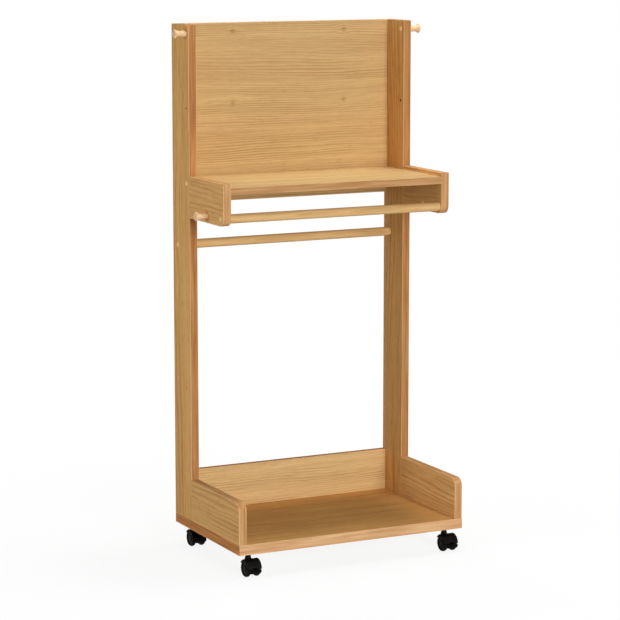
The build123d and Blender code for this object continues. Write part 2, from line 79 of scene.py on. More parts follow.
def plain(name, description, default):
    """A plain number."""
    return FloatProperty(name=name, description=description, default=default)


class RackWood(bpy.types.PropertyGroup):
    """Colours and sheen of the wood-look surfaces."""

    face_light: colour("Face, light", "Pale grain of the oak-look faces", (0.885, 0.757, 0.537))
    face_warm: colour("Face, warm", "Pale grain where the face is redder", (0.890, 0.743, 0.532))
    face_dark: colour("Face, dark", "Dark grain of the oak-look faces", (0.752, 0.607, 0.403))
    pore_tone: colour("Pores", "Short open pores along the grain", (0.640, 0.485, 0.300))
    knot_tone: colour("Knots", "Middle of the small knots", (0.600, 0.445, 0.290))
    # The board tints are painted shade: they darken and warm the posts, wings, brackets and base and dim the
    # upper panel and a little the shelf, as if their faces were shaded
    high_panel_tint: colour("High panel tint", "Laminate tint of the upper panel", (0.920, 0.905, 0.890))
    low_panel_tint: colour("Low panel tint", "Laminate tint of the lower panel", (1.0, 1.0, 1.0))
    post_tint: colour("Post tint", "Laminate tint of the posts", (0.970, 0.895, 0.800))
    cheek_tint: colour("Cheek tint", "Laminate tint of the wings and brackets", (0.985, 0.925, 0.850))
    base_tint: colour("Base tint", "Laminate tint of the base", (0.980, 0.895, 0.775))
    shelf_tint: colour("Shelf tint", "Laminate tint of the shelf", (0.985, 0.985, 0.985))
    front_band_light: colour("Front band, light", "Pale lines of the cheeks' fronts", (0.810, 0.635, 0.440))
    front_band_dark: colour("Front band, dark", "Dark lines of the cheeks' fronts", (0.690, 0.490, 0.305))
    long_band_light: colour("Long band, light", "Pale lines of the cheeks' long edges", (0.850, 0.650, 0.430))
    long_band_dark: colour("Long band, dark", "Dark lines of the cheeks' long edges", (0.720, 0.515, 0.320))
    base_band_light: colour("Base band, light", "Pale lines of the base's front", (0.880, 0.710, 0.525))
    base_band_dark: colour("Base band, dark", "Dark lines of the base's front", (0.760, 0.570, 0.390))
    end_band_light: colour("End band, light", "Pale lines of the base's ends", (0.794, 0.555, 0.340))
    end_band_dark: colour("End band, dark", "Dark lines of the base's ends", (0.660, 0.425, 0.237))
    shelf_band_light: colour("Shelf band, light", "Pale lines of the shelf's front", (0.775, 0.606, 0.420))
    shelf_band_dark: colour("Shelf band, dark", "Dark lines of the shelf's front", (0.660, 0.468, 0.291))
    brown_band_light: colour("Brown band, light", "Pale lines of post and panel edges", (0.745, 0.537, 0.340))
    brown_band_dark: colour("Brown band, dark", "Dark lines of post and panel edges", (0.619, 0.411, 0.236))
    # The arris tone is a paler worn edge and partly a painted highlight on the rounded corner
    arris_wear_and_highlight: colour("Arris", "Rounded corner between face and edge band", (0.890, 0.730, 0.520))
    rod_light: colour("Rod, light", "Pale grain of the hanging rods", (0.880, 0.730, 0.510))
    rod_dark: colour("Rod, dark", "Dark grain of the hanging rods", (0.755, 0.590, 0.385))
    peg_light: colour("Peg, light", "Pale grain of the turned pegs", (0.930, 0.800, 0.635))
    peg_dark: colour("Peg, dark", "Dark grain of the turned pegs", (0.810, 0.650, 0.480))
    gloss: plain("Gloss", "Specular level of the satin lacquer", 0.004)


class RackFittings(bpy.types.PropertyGroup):
    """Colours and small sizes of the plastic and metal fittings."""

    cap_tone: colour("Screw cap", "Pale plastic screw caps", (0.945, 0.765, 0.530))
    plastic_tone: colour("Caster plastic", "Black moulded hoods and levers", (0.055, 0.048, 0.044))
    tyre_tone: colour("Wheel plastic", "Black wheels, paler where scuffed", (0.062, 0.056, 0.052))
    socket_tone: colour("Socket", "Plastic stem sockets", (0.130, 0.120, 0.112))
    zinc_tone: colour("Zinc", "Plated steel of screws, stems and axles", (0.740, 0.750, 0.760))
    grip_ridges: IntProperty(name="Grip ridges", description="Ridges on each brake lever's tab", default=3)
    ridge_radius: length("Ridge radius", "Radius of a grip ridge", 0.4 * MM)
    ridge_step: length("Ridge step", "From one grip ridge to the next", 1.2 * MM)
    ridge_inset: length("Ridge inset", "From the tab's tip and sides to the ridges", 1.0 * MM)


class RackStage(bpy.types.PropertyGroup):
    """Camera, lamps and floor."""

    azimuth: angle("Azimuth", "Camera's turn round the rack", -26.487)
    elevation: angle("Elevation", "Camera's height above the horizon", 9.177)
    distance: length("Distance", "Camera to aim point", 5.902)
    aim_height: length("Aim height", "Height of the middle of the rack", 0.640)
    aim_right: length("Aim right", "Shift of the aim point to the picture's right", -0.0236)
    aim_up: length("Aim up", "Shift of the aim point up the picture", -0.0480)
    lens: plain("Lens", "Focal length in millimetres on a 36 mm frame", 141.61)
    ambient: plain("Ambient", "Even light from all round", 0.10)
    top_power: plain("Top lamp", "Power of the lamp over the rack, in watts", 33.0)
    front_power: plain("Front lamp", "Power of the far lamp in front of the rack, in watts", 345.0)
    near_power: plain("Near lamp", "Power of the near lamp in front of the rack, in watts", 80.0)
    left_power: plain("Left lamp", "Power of the lamp to the left of the rack, in watts", 90.0)
    right_power: plain("Right lamp", "Power of the lamp to the right of the rack, in watts", 80.0)
    back_power: plain("Back lamp", "Power of the lamp behind the rack, in watts", 190.0)
    floor_tone: colour("Floor", "Pale floor", (0.700, 0.700, 0.700))
    floor_size: length("Floor size", "Side of the floor", 60.0)
    near_glow: plain("Near glow", "Share of plain white that the camera sees in the floor by the rack", 0.88)
    shadow_reach: length("Shadow reach", "Where the floor has turned plain white", 1.5)


# Shader helpers

# White with alpha, and the middle of a pattern or a tone that runs from 0 to 1
WHITE = (1.0, 1.0, 1.0, 1.0)
MIDDLE = 0.5


class Noise(NamedTuple):
    """A noise pattern: its repeats per metre along three axes, where it is read, and its detail."""

    repeats: tuple
    start: tuple = (0.0, 0.0, 0.0)
    detail: float = 2.0


class Sheet:
    """One material's node tree, with short ways to add and link nodes."""

    def __init__(self, name):
        self.material = bpy.data.materials.new(name)
        self.material.use_nodes = True
        self.tree = self.material.node_tree
        self.tree.nodes.clear()
        self.output = self.add("ShaderNodeOutputMaterial")
        self.shader = self.add("ShaderNodeBsdfPrincipled")
        self.feed(self.output.inputs["Surface"], self.shader.outputs["BSDF"])
        self.places = self.add("ShaderNodeTexCoord")

    def add(self, kind, **settings):
        """A new node with its settings."""
        node = self.tree.nodes.new(kind)
        for key, value in settings.items():
            setattr(node, key, value)
        return node

    def feed(self, socket, value):
        """Links a socket to an output, or sets it."""
        if isinstance(value, bpy.types.NodeSocket):
            self.tree.links.new(value, socket)
        else:
            socket.default_value = value

    def math(self, operation, *values):
        """The result of a math node."""
        node = self.add("ShaderNodeMath", operation=operation)
        for socket, value in zip(node.inputs, values):
            self.feed(socket, value)
        return node.outputs[0]

    def vector(self, operation, *values):
        """The vector result of a vector math node."""
        node = self.add("ShaderNodeVectorMath", operation=operation)
        for socket, value in zip(node.inputs, values):
            self.feed(socket, value)
        return node.outputs["Vector"]

    def split(self, vector):
        """The three parts of a vector."""
        node = self.add("ShaderNodeSeparateXYZ")
        self.feed(node.inputs[0], vector)
        return list(node.outputs)

    def join(self, *parts):
        """A vector from three parts."""
        node = self.add("ShaderNodeCombineXYZ")
        for socket, value in zip(node.inputs, parts):
            self.feed(socket, value)
        return node.outputs[0]

    def ramp(self, value, start, end):
        """A smooth step from 0 at the start to 1 at the end."""
        node = self.add("ShaderNodeMapRange", interpolation_type="SMOOTHSTEP")
        self.feed(node.inputs["Value"], value)
        node.inputs["From Min"].default_value = start
        node.inputs["From Max"].default_value = end
        return node.outputs["Result"]

    def blend(self, factor, first, second):
        """A colour between two others."""
        node = self.add("ShaderNodeMix", data_type="RGBA")
        colours = [socket for socket in node.inputs if socket.type == "RGBA"]
        self.feed(node.inputs["Factor"], factor)
        self.feed(colours[0], first)
        self.feed(colours[1], second)
        return [socket for socket in node.outputs if socket.type == "RGBA"][0]

    def noise(self, place, pattern):
        """Noise of about -0.5 to 0.5."""
        node = self.add("ShaderNodeTexNoise")
        scaled = self.vector("MULTIPLY_ADD", place, pattern.repeats, pattern.start)
        self.feed(node.inputs["Vector"], scaled)
        node.inputs["Scale"].default_value = 1.0
        node.inputs["Detail"].default_value = pattern.detail
        return self.math("SUBTRACT", node.outputs["Fac"], MIDDLE)

    def bump(self, height, distance):
        """Raises the surface by a height pattern."""
        node = self.add("ShaderNodeBump")
        node.inputs["Strength"].default_value = 1.0
        node.inputs["Distance"].default_value = distance
        self.feed(node.inputs["Height"], height)
        self.feed(self.shader.inputs["Normal"], node.outputs["Normal"])

    def set(self, **inputs):
        """Sets or links the shader's own sockets."""
        for name, value in inputs.items():
            self.feed(self.shader.inputs[name.replace("_", " ")], value)


def shown(tone):
    """A screen colour as the shader's linear colour with alpha."""
    return (*Color(tone).from_srgb_to_scene_linear(), 1.0)


def tinted(tone, shade_tint):
    """A screen colour under a board's tint of painted shade, as the shader's linear colour."""
    return tuple(part * share for part, share in zip(shown(tone), shown(shade_tint)))


# Wood

class Marks(NamedTuple):
    """Marks along the grain: repeats per metre along it, and across it as a share of the board's lines."""

    along: float
    share: float
    start: tuple = (0.0, 0.0, 0.0)

    def on(self, lines):
        """Their noise on a board with so many lines per metre."""
        across = lines * self.share
        return Noise((self.along, across, across), self.start)


# Patterns of the grain, the values between which pores and redder clouds come in, and the bend of the lines
BROAD_BANDS = Marks(0.8, 0.2)
LONG_LINES = Marks(4.0, 1.0, (3.1, 0.7, 0.2))
DASHES = Marks(22.0, 1.1, (6.3, 2.9, 4.1))
PORES = Marks(34.0, 1.6, (7.7, 1.2, 9.1))
PORE_EDGES = (0.10, 0.30)
FIBRES = Noise((60.0, 900.0, 900.0), (1.7, 4.4, 2.6))
WARM_CLOUDS = Noise((3.0, 14.0, 14.0), (0.4, 8.2, 5.5))
CLOUD_EDGES = (-0.16, 0.16)
WARP = Noise((2.0, 6.0, 6.0))
WARP_REACH = 20 * MM

# How much each pattern changes the tone
BANDS_WEIGHT = 0.9
LINES_WEIGHT = 1.0
DASHES_WEIGHT = 0.9
RINGS_WEIGHT = -1.1
FIBRES_WEIGHT = 0.4

# Year rings: how many to the board's lines, how they wander, and how a line starts, ends and fades
RINGS_SHARE = 0.6
RING_DRIFT = Noise((1.3, 9.0, 9.0), (5.2, 3.3, 1.4), 4.0)
RING_WANDER = 7.0
RING_START = (0.35, 0.90)
RING_END = (1.0, 0.90)
RING_FADES = Noise((2.2, 30.0, 30.0), (8.8, 0.6, 2.7))
FADE_EDGES = (-0.22, 0.22)
RING_MEAN = 0.16

# Small knots of the upper panel, from its middle and down from its top
KNOT_COLUMNS = (-146 * MM, 157 * MM)
KNOT_DROPS = (21 * MM, 195 * MM)
KNOT_SIZE = 6 * MM

# How far the grain bends round a knot, in knot sizes, how strongly it does, and how dark the knot is
KNOT_REACH = 2.5
KNOT_PULL = -0.75
KNOT_STRENGTH = 0.6

# Lines of the edge bands
BAND_LINES = Noise((7.0, 150.0, 150.0), detail=3.0)
BAND_CONTRAST = 2.8

# Where end, side, arris and face give way to each other, by the normal's part along the grain or the face
END_MEETS_SIDE = (0.4, 0.6)
EDGE_MEETS_FACE = (0.80, 0.97)
ARRIS_LEAVES_EDGE = (0.05, 0.30)
ARRIS_MEETS_FACE = (0.995, 0.93)

# How much of the paler arris shows, a worn edge that is partly a painted highlight
PALE_ARRIS = 0.8
FAINT_ARRIS = 0.1

# Finish of the boards: roughness, its change with the fibres, strength of the pores and height of the relief
FACE_ROUGHNESS = 0.46
FACE_POLISH = -0.25
FACE_PORES = 0.6
FACE_RELIEF = 0.08 * MM

# Finish of the round wood, in the same order, with its lines per metre and their contrast
ROUND_ROUGHNESS = 0.45
ROUND_POLISH = -0.2
ROUND_PORES = 0.3
ROUND_RELIEF = 0.06 * MM
ROUND_LINES = 260.0
ROUND_CONTRAST = 0.7


class BoardLook(NamedTuple):
    """One kind of board: its nodes, its axes, its lines per metre and their contrast, its bands and arris."""

    nodes: tuple
    grain: int
    face: int
    lines: float
    contrast: float
    side_band: str
    end_band: str
    arris: float = PALE_ARRIS
    knotted: bool = False


POSTS = tuple(f"{side}_post" for side in SIDES)
CHEEKS = tuple(f"{side}_{kind}" for side in SIDES for kind in ("base_wing", "shelf_bracket"))
BOARD_LOOKS = {
    "base": BoardLook(("base_board",), X, Z, 120.0, 0.55, "base", "end"),
    "shelf": BoardLook(("shelf_board",), X, Z, 180.0, 0.95, "shelf", "brown", arris=FAINT_ARRIS),
    "low_panel": BoardLook(("lower_back_panel",), X, Y, 270.0, 0.80, "brown", "brown"),
    "high_panel": BoardLook(("upper_back_panel",), X, Y, 270.0, 0.70, "brown", "brown", knotted=True),
    "post": BoardLook(POSTS, Z, X, 100.0, 0.80, "brown", "brown"),
    "cheek": BoardLook(CHEEKS, Y, X, 150.0, 0.75, "long", "front"),
}


def grain_pattern(sheet, place, lines, contrast):
    """Figure of a sawn face from a place along, across and through it: tone, warmth, pores and fibres."""
    along, across, through = sheet.split(place)
    bent = sheet.math("MULTIPLY_ADD", sheet.noise(place, WARP), WARP_REACH, across)
    place = sheet.join(along, bent, through)
    fibres = sheet.noise(place, FIBRES)
    layers = (
        (sheet.noise(place, BROAD_BANDS.on(lines)), BANDS_WEIGHT),
        (sheet.noise(place, LONG_LINES.on(lines)), LINES_WEIGHT * contrast),
        (sheet.noise(place, DASHES.on(lines)), DASHES_WEIGHT * contrast),
        (ring_lines(sheet, place, bent, lines * RINGS_SHARE), RINGS_WEIGHT * contrast),
        (fibres, FIBRES_WEIGHT),
    )
    tone = MIDDLE
    for layer, weight in layers:
        tone = sheet.math("MULTIPLY_ADD", layer, weight, tone)
    warmth = sheet.ramp(sheet.noise(place, WARM_CLOUDS), *CLOUD_EDGES)
    pores = sheet.ramp(sheet.noise(place, PORES.on(lines)), *PORE_EDGES)
    return tone, warmth, pores, fibres


def ring_lines(sheet, place, across, per_metre):
    """Thin dark lines of the year rings: each darkens slowly, ends sharply and fades in and out along it."""
    drift = sheet.noise(place, RING_DRIFT)
    turns = sheet.math("MULTIPLY_ADD", drift, RING_WANDER, sheet.math("MULTIPLY", across, per_metre))
    phase = sheet.math("FRACT", turns)
    line = sheet.math("MULTIPLY", sheet.ramp(phase, *RING_START), sheet.ramp(phase, *RING_END))
    strength = sheet.ramp(sheet.noise(place, RING_FADES), *FADE_EDGES)
    return sheet.math("MULTIPLY_ADD", line, strength, -RING_MEAN)


def knot_places():
    """Where the upper panel's knots are, along and across its grain."""
    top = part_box("upper_back_panel")[1].z
    return [(column, top - drop) for column in KNOT_COLUMNS for drop in KNOT_DROPS]


def knot_bend(sheet, along, across):
    """How the grain bends round the small knots, and how dark they are."""
    dark = 0.0
    for knot_along, knot_across in knot_places():
        off_along = sheet.math("SUBTRACT", along, knot_along)
        off_across = sheet.math("SUBTRACT", across, knot_across)
        squares = [sheet.math("MULTIPLY", off, off) for off in (off_along, off_across)]
        reach = sheet.math("ADD", *squares)
        near = sheet.math("EXPONENT", sheet.math("DIVIDE", reach, -(KNOT_REACH * KNOT_SIZE) ** 2))
        across = sheet.math("MULTIPLY_ADD", sheet.math("MULTIPLY", off_across, near), KNOT_PULL, across)
        spot = sheet.math("EXPONENT", sheet.math("DIVIDE", reach, -KNOT_SIZE ** 2))
        dark = sheet.math("MAXIMUM", spot, dark)
    return across, dark


def band_tones(wood, kind):
    """Dark and light lines of one kind of edge band."""
    return shown(getattr(wood, f"{kind}_band_dark")), shown(getattr(wood, f"{kind}_band_light"))


def edge_colour(sheet, parts, axes, is_end, side_tones, end_tones):
    """Colour of the edge bands, lined along their length on the sides and on the ends."""
    grain, cross, face = axes
    along_side = sheet.join(parts[grain], parts[cross], parts[face])
    along_end = sheet.join(parts[cross], parts[grain], parts[face])
    shades = []
    for place, tones in ((along_side, side_tones), (along_end, end_tones)):
        lines = sheet.noise(place, BAND_LINES)
        shades.append(sheet.blend(sheet.math("MULTIPLY_ADD", lines, BAND_CONTRAST, MIDDLE), *tones))
    return sheet.blend(is_end, *shades)


def face_colour(sheet, place, look, wood, shade_tint):
    """Colour of a board's figured faces, with their pores and fibres."""
    tone, warmth, pores, fibres = grain_pattern(sheet, place, look.lines, look.contrast)
    # The tint paints shade into the face colours
    light = sheet.blend(warmth, tinted(wood.face_light, shade_tint), tinted(wood.face_warm, shade_tint))
    shade = sheet.blend(tone, tinted(wood.face_dark, shade_tint), light)
    shade = sheet.blend(sheet.math("MULTIPLY", pores, FACE_PORES), shade, tinted(wood.pore_tone, shade_tint))
    return shade, pores, fibres


def oak_board(name, look, wood, shade_tint):
    """Oak-look board: figured faces, edge bands and a paler arris between them, partly worn edge and partly
    painted highlight.
    """
    sheet = Sheet(name)
    # The axis across the grain is the one that is left
    cross = X + Y + Z - look.grain - look.face
    axes = (look.grain, cross, look.face)
    parts = sheet.split(sheet.places.outputs["Object"])
    along, across, through = (parts[axis] for axis in axes)
    if look.knotted:
        across, knot_shade = knot_bend(sheet, along, across)
    place = sheet.join(along, across, through)
    shade, pores, fibres = face_colour(sheet, place, look, wood, shade_tint)
    if look.knotted:
        knots = sheet.math("MULTIPLY", knot_shade, KNOT_STRENGTH)
        shade = sheet.blend(knots, shade, shown(wood.knot_tone))
    facing = sheet.split(sheet.vector("ABSOLUTE", sheet.places.outputs["Normal"]))
    is_end = sheet.ramp(facing[look.grain], *END_MEETS_SIDE)
    side_tones, end_tones = band_tones(wood, look.side_band), band_tones(wood, look.end_band)
    bands = edge_colour(sheet, parts, axes, is_end, side_tones, end_tones)
    shade = sheet.blend(sheet.ramp(facing[look.face], *EDGE_MEETS_FACE), bands, shade)
    leaving_edge = sheet.ramp(facing[look.face], *ARRIS_LEAVES_EDGE)
    leaving_face = sheet.ramp(facing[look.face], *ARRIS_MEETS_FACE)
    arris = sheet.math("MULTIPLY", leaving_edge, leaving_face)
    # Paler arris: partly worn edge, partly painted highlight
    shade = sheet.blend(sheet.math("MULTIPLY", arris, look.arris), shade, shown(wood.arris_wear_and_highlight))
    roughness = sheet.math("MULTIPLY_ADD", fibres, FACE_POLISH, FACE_ROUGHNESS)
    sheet.set(Base_Color=shade, Roughness=roughness, Specular_IOR_Level=wood.gloss)
    sheet.bump(sheet.math("SUBTRACT", fibres, pores), FACE_RELIEF)
    return sheet.material


def round_wood(name, light, dark, wood):
    """Turned or planed round wood with its grain along X."""
    sheet = Sheet(name)
    place = sheet.places.outputs["Object"]
    tone, _, pores, fibres = grain_pattern(sheet, place, ROUND_LINES, ROUND_CONTRAST)
    shade = sheet.blend(tone, shown(dark), shown(light))
    shade = sheet.blend(sheet.math("MULTIPLY", pores, ROUND_PORES), shade, shown(wood.pore_tone))
    roughness = sheet.math("MULTIPLY_ADD", fibres, ROUND_POLISH, ROUND_ROUGHNESS)
    sheet.set(Base_Color=shade, Roughness=roughness, Specular_IOR_Level=wood.gloss)
    sheet.bump(fibres, ROUND_RELIEF)
    return sheet.material


# Plastic and metal

class PlasticLook(NamedTuple):
    """A moulded plastic: its roughness, how much paler its scuffs are, and its specular level."""

    roughness: float
    scuffed: float
    gloss: float


CAP_LOOK = PlasticLook(0.42, 0.10, 0.05)
HOOD_LOOK = PlasticLook(0.40, 0.02, 0.04)
SOCKET_LOOK = PlasticLook(0.50, 0.02, 0.10)
WHEEL_LOOK = PlasticLook(0.46, 0.04, 0.04)

# Moulded plastic: fine texture, and scuffs that are paler and rougher
MOULD_TEXTURE = Noise((2600.0, 2600.0, 2600.0))
MOULD_RELIEF = 0.05 * MM
SCUFFS = Noise((130.0, 60.0, 60.0), (2.0, 5.0, 1.0), 4.0)
SCUFF_EDGES = (0.02, 0.22)
SCUFF_ROUGHNESS = 0.35

# Plated steel: clouds that are a little darker, and fine drawn lines that are rougher
ZINC_CLOUDS = Noise((240.0, 240.0, 240.0), detail=3.0)
ZINC_SHADE = 0.82
DRAWN_LINES = Noise((2200.0, 2200.0, 260.0), (1.0, 2.0, 3.0))
LINE_ROUGHNESS = 0.3
ZINC_ROUGHNESS = 0.36
ZINC_RELIEF = 0.02 * MM


def moulded_plastic(name, tone, look):
    """Moulded plastic with a fine spark-eroded texture and faint scuffs."""
    sheet = Sheet(name)
    place = sheet.places.outputs["Object"]
    scuffs = sheet.noise(place, SCUFFS)
    paler = Vector(tone).lerp(Vector(WHITE[:3]), look.scuffed)
    shade = sheet.blend(sheet.ramp(scuffs, *SCUFF_EDGES), shown(tone), shown(paler))
    rough = sheet.math("MULTIPLY_ADD", scuffs, SCUFF_ROUGHNESS, look.roughness)
    sheet.set(Base_Color=shade, Roughness=rough, Specular_IOR_Level=look.gloss)
    sheet.bump(sheet.noise(place, MOULD_TEXTURE), MOULD_RELIEF)
    return sheet.material


def plated_steel(name, tone):
    """Zinc-plated steel with faint clouding and fine drawn lines."""
    sheet = Sheet(name)
    place = sheet.places.outputs["Object"]
    clouds = sheet.math("ADD", sheet.noise(place, ZINC_CLOUDS), MIDDLE)
    lines = sheet.noise(place, DRAWN_LINES)
    shade = sheet.blend(clouds, shown(Vector(tone) * ZINC_SHADE), shown(tone))
    rough = sheet.math("MULTIPLY_ADD", lines, LINE_ROUGHNESS, ZINC_ROUGHNESS)
    sheet.set(Base_Color=shade, Roughness=rough, Metallic=1.0)
    sheet.bump(lines, ZINC_RELIEF)
    return sheet.material


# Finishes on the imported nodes

def paint(material, *names):
    """Gives CAD nodes their finish."""
    for name in names:
        node = NODES[name]
        if node.material_slots:
            for slot in node.material_slots:
                slot.material = material
        else:
            node.data.materials.append(material)


# Grip ridges

# The tab of the brake lever: its thickness, and half its width
TAB_THICKNESS = 3.0 * MM
TAB_HALF = 13.5 * MM

# A ridge's roundness: sides of its section, and the dome at each end as a share of its radius
RIDGE_SIDES = 20
DOME_SHARE = 0.9
DOME_STEPS = 4

# The angle from which an edge stays sharp, and the distance below which two places are the same
CREASE_ANGLE = math.radians(32.0)
SAME_PLACE = 1e-6


def make_piece(name, bm, material, body):
    """Turns a bmesh into a smooth-shaded piece on a body."""
    mesh = bpy.data.meshes.new(name)
    bm.to_mesh(mesh)
    bm.free()
    mesh.shade_smooth()
    mesh.set_sharp_from_angle(angle=CREASE_ANGLE)
    mesh.materials.append(material)
    piece = bpy.data.objects.new(name, mesh)
    bpy.context.scene.collection.objects.link(piece)
    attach(piece, body)


def add_ridge(bm, middle, radius, span):
    """A round ridge along X with domed ends, half sunk in what carries it."""
    lie_down = Matrix.Rotation(math.pi / 2, 4, "Y")
    made = bmesh.ops.create_cone(
        bm,
        cap_ends=True,
        segments=RIDGE_SIDES,
        radius1=radius,
        radius2=radius,
        depth=span,
        matrix=Matrix.Translation(middle) @ lie_down,
    )
    rims = {edge for vert in made["verts"] for edge in vert.link_edges if is_across(edge)}
    bmesh.ops.bevel(
        bm,
        geom=list(rims),
        offset=DOME_SHARE * radius,
        offset_type="OFFSET",
        affect="EDGES",
        segments=DOME_STEPS,
        profile=0.5,
        material=-1,
    )


def is_across(edge):
    """Whether an edge lies square to X."""
    first, second = edge.verts
    return abs(first.co.x - second.co.x) < SAME_PLACE


# Operators of the rack

class RackOperator:
    """What every operator of the rack shares."""

    bl_options = {"REGISTER", "UNDO"}


class RACK_OT_boards(RackOperator, bpy.types.Operator):
    """Give every board its oak-look face and edge bands"""

    bl_idname = "rack.boards"
    bl_label = "Boards"

    def execute(self, context):
        wood = context.scene.rack_wood
        for kind, look in BOARD_LOOKS.items():
            # Each board's tint paints shade into its colour
            shade_tint = getattr(wood, f"{kind}_tint")
            paint(oak_board(f"oak_{kind}", look, wood, shade_tint), *look.nodes)
        return {"FINISHED"}


class RACK_OT_rods(RackOperator, bpy.types.Operator):
    """Finish the two hanging rods"""

    bl_idname = "rack.rods"
    bl_label = "Hanging rods"

    def execute(self, context):
        wood = context.scene.rack_wood
        material = round_wood("rod_wood", wood.rod_light, wood.rod_dark, wood)
        paint(material, *[f"{end}_hanging_rod" for end in ENDS])
        return {"FINISHED"}


class RACK_OT_pegs(RackOperator, bpy.types.Operator):
    """Finish the turned pegs and the hidden dowels"""

    bl_idname = "rack.pegs"
    bl_label = "Pegs and dowels"

    def execute(self, context):
        wood = context.scene.rack_wood
        material = round_wood("peg_wood", wood.peg_light, wood.peg_dark, wood)
        pegs = [f"top_{side}_peg" for side in SIDES] + [f"{side}_bracket_peg" for side in SIDES]
        dowels = [f"{joint}_dowels" for joint in ("wing", "bracket", "panel", "shelf")]
        paint(material, *pegs, *dowels)
        return {"FINISHED"}


class RACK_OT_fasteners(RackOperator, bpy.types.Operator):
    """Finish the screws and the caps that cover them"""

    bl_idname = "rack.fasteners"
    bl_label = "Screws and caps"

    def execute(self, context):
        fittings = context.scene.rack_fittings
        steel = plated_steel("screw_zinc", fittings.zinc_tone)
        paint(steel, *[f"{place}_screws" for place in ("peg", "rod", "shelf", "base")])
        paint(moulded_plastic("cap_plastic", fittings.cap_tone, CAP_LOOK), "screw_caps")
        return {"FINISHED"}


class RACK_OT_caster_bodies(RackOperator, bpy.types.Operator):
    """Finish the caster hoods, levers, sockets, stems and axles"""

    bl_idname = "rack.caster_bodies"
    bl_label = "Caster bodies"

    def execute(self, context):
        fittings = context.scene.rack_fittings
        black = moulded_plastic("hood_plastic", fittings.plastic_tone, HOOD_LOOK)
        paint(black, *[f"{caster}_hood" for caster in CASTERS])
        paint(black, *[f"{caster}_brake_lever" for caster in BRAKED_CASTERS])
        paint(moulded_plastic("socket_plastic", fittings.socket_tone, SOCKET_LOOK), "caster_sockets")
        steel = plated_steel("caster_zinc", fittings.zinc_tone)
        paint(steel, *[f"{caster}_{piece}" for caster in CASTERS for piece in ("stem", "axle")])
        return {"FINISHED"}


class RACK_OT_grip_ridges(RackOperator, bpy.types.Operator):
    """Raise the grip ridges on the brake levers' tabs"""

    bl_idname = "rack.grip_ridges"
    bl_label = "Grip ridges"

    def execute(self, context):
        fittings = context.scene.rack_fittings
        for caster in BRAKED_CASTERS:
            lever = f"{caster}_brake_lever"
            low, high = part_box(lever)
            bm = bmesh.new()
            for index in range(fittings.grip_ridges):
                y = low.y + fittings.ridge_inset + index * fittings.ridge_step
                middle = Vector(((low.x + high.x) / 2, y, low.z + TAB_THICKNESS))
                add_ridge(bm, middle, fittings.ridge_radius, 2 * (TAB_HALF - fittings.ridge_inset))
            make_piece(f"{caster}_grip_ridges", bm, NODES[lever].active_material, lever)
        return {"FINISHED"}


class RACK_OT_caster_wheels(RackOperator, bpy.types.Operator):
    """Finish the caster wheels"""

    bl_idname = "rack.caster_wheels"
    bl_label = "Caster wheels"

    def execute(self, context):
        fittings = context.scene.rack_fittings
        tyre = moulded_plastic("wheel_plastic", fittings.tyre_tone, WHEEL_LOOK)
        paint(tyre, *[f"{caster}_wheel_{side}" for caster in CASTERS for side in SIDES])
        return {"FINISHED"}


# Stage

class LampPlace(NamedTuple):
    """A square lamp: its direction in degrees, distance, side, offset in X and Y, and whether it glares."""

    azimuth: float
    elevation: float
    distance: float
    side: float
    offset: tuple = (0.0, 0.0)
    glare: bool = True


LAMPS = {
    "top": LampPlace(0.0, 90.0, 2.26, 0.6, offset=(0.35, 0.12)),
    "front": LampPlace(0.0, 12.0, 9.0, 3.0),
    "near": LampPlace(0.0, 8.0, 4.5, 1.8),
    "left": LampPlace(-90.0, 8.0, 4.5, 1.8, glare=False),
    "right": LampPlace(90.0, 8.0, 4.5, 1.8, glare=False),
    "back": LampPlace(180.0, 3.0, 6.0, 1.2, glare=False),
}

# Width of the camera's frame, in millimetres
FRAME_WIDTH = 36.0

# Where the floor begins to turn plain white, as a share of the shadow's reach
SHADOW_CORE = 0.3


def turn_to(azimuth, elevation):
    """The turn of a camera or lamp that looks in from a direction in radians."""
    return Matrix.Rotation(azimuth, 4, "Z") @ Matrix.Rotation(math.pi / 2 - elevation, 4, "X")


def place_camera(stage):
    """The camera, with its sensor as wide as the picture."""
    data = bpy.data.cameras.new("rack_camera")
    data.sensor_fit = "HORIZONTAL"
    data.sensor_width = FRAME_WIDTH
    data.lens = stage.lens
    camera = bpy.data.objects.new("rack_camera", data)
    bpy.context.scene.collection.objects.link(camera)
    turn = turn_to(stage.azimuth, stage.elevation)
    right, up, back = turn.to_3x3().col
    target = Vector((0.0, 0.0, stage.aim_height)) + right * stage.aim_right + up * stage.aim_up
    camera.matrix_world = Matrix.Translation(target + back * stage.distance) @ turn
    bpy.context.scene.camera = camera


def place_lamp(name, place, power, height):
    """A soft square lamp aimed at the middle of the rack, or beside it."""
    data = bpy.data.lights.new(name, "AREA")
    data.shape = "SQUARE"
    data.size = place.side
    data.energy = power
    lamp = bpy.data.objects.new(name, data)
    lamp.visible_glossy = place.glare
    bpy.context.scene.collection.objects.link(lamp)
    turn = turn_to(math.radians(place.azimuth), math.radians(place.elevation))
    reach = Matrix.Translation((0.0, 0.0, place.distance))
    lamp.matrix_world = Matrix.Translation((*place.offset, height)) @ turn @ reach


def seen_directly(tree):
    """1 where the camera, a mirror or glass sees the surface, and 0 where it only sheds light."""
    path = tree.nodes.new("ShaderNodeLightPath")
    factor = path.outputs["Is Camera Ray"]
    for name in ("Is Glossy Ray", "Is Transmission Ray"):
        either = tree.nodes.new("ShaderNodeMath")
        either.operation = "MAXIMUM"
        tree.links.new(factor, either.inputs[0])
        tree.links.new(path.outputs[name], either.inputs[1])
        factor = either.outputs[0]
    return factor


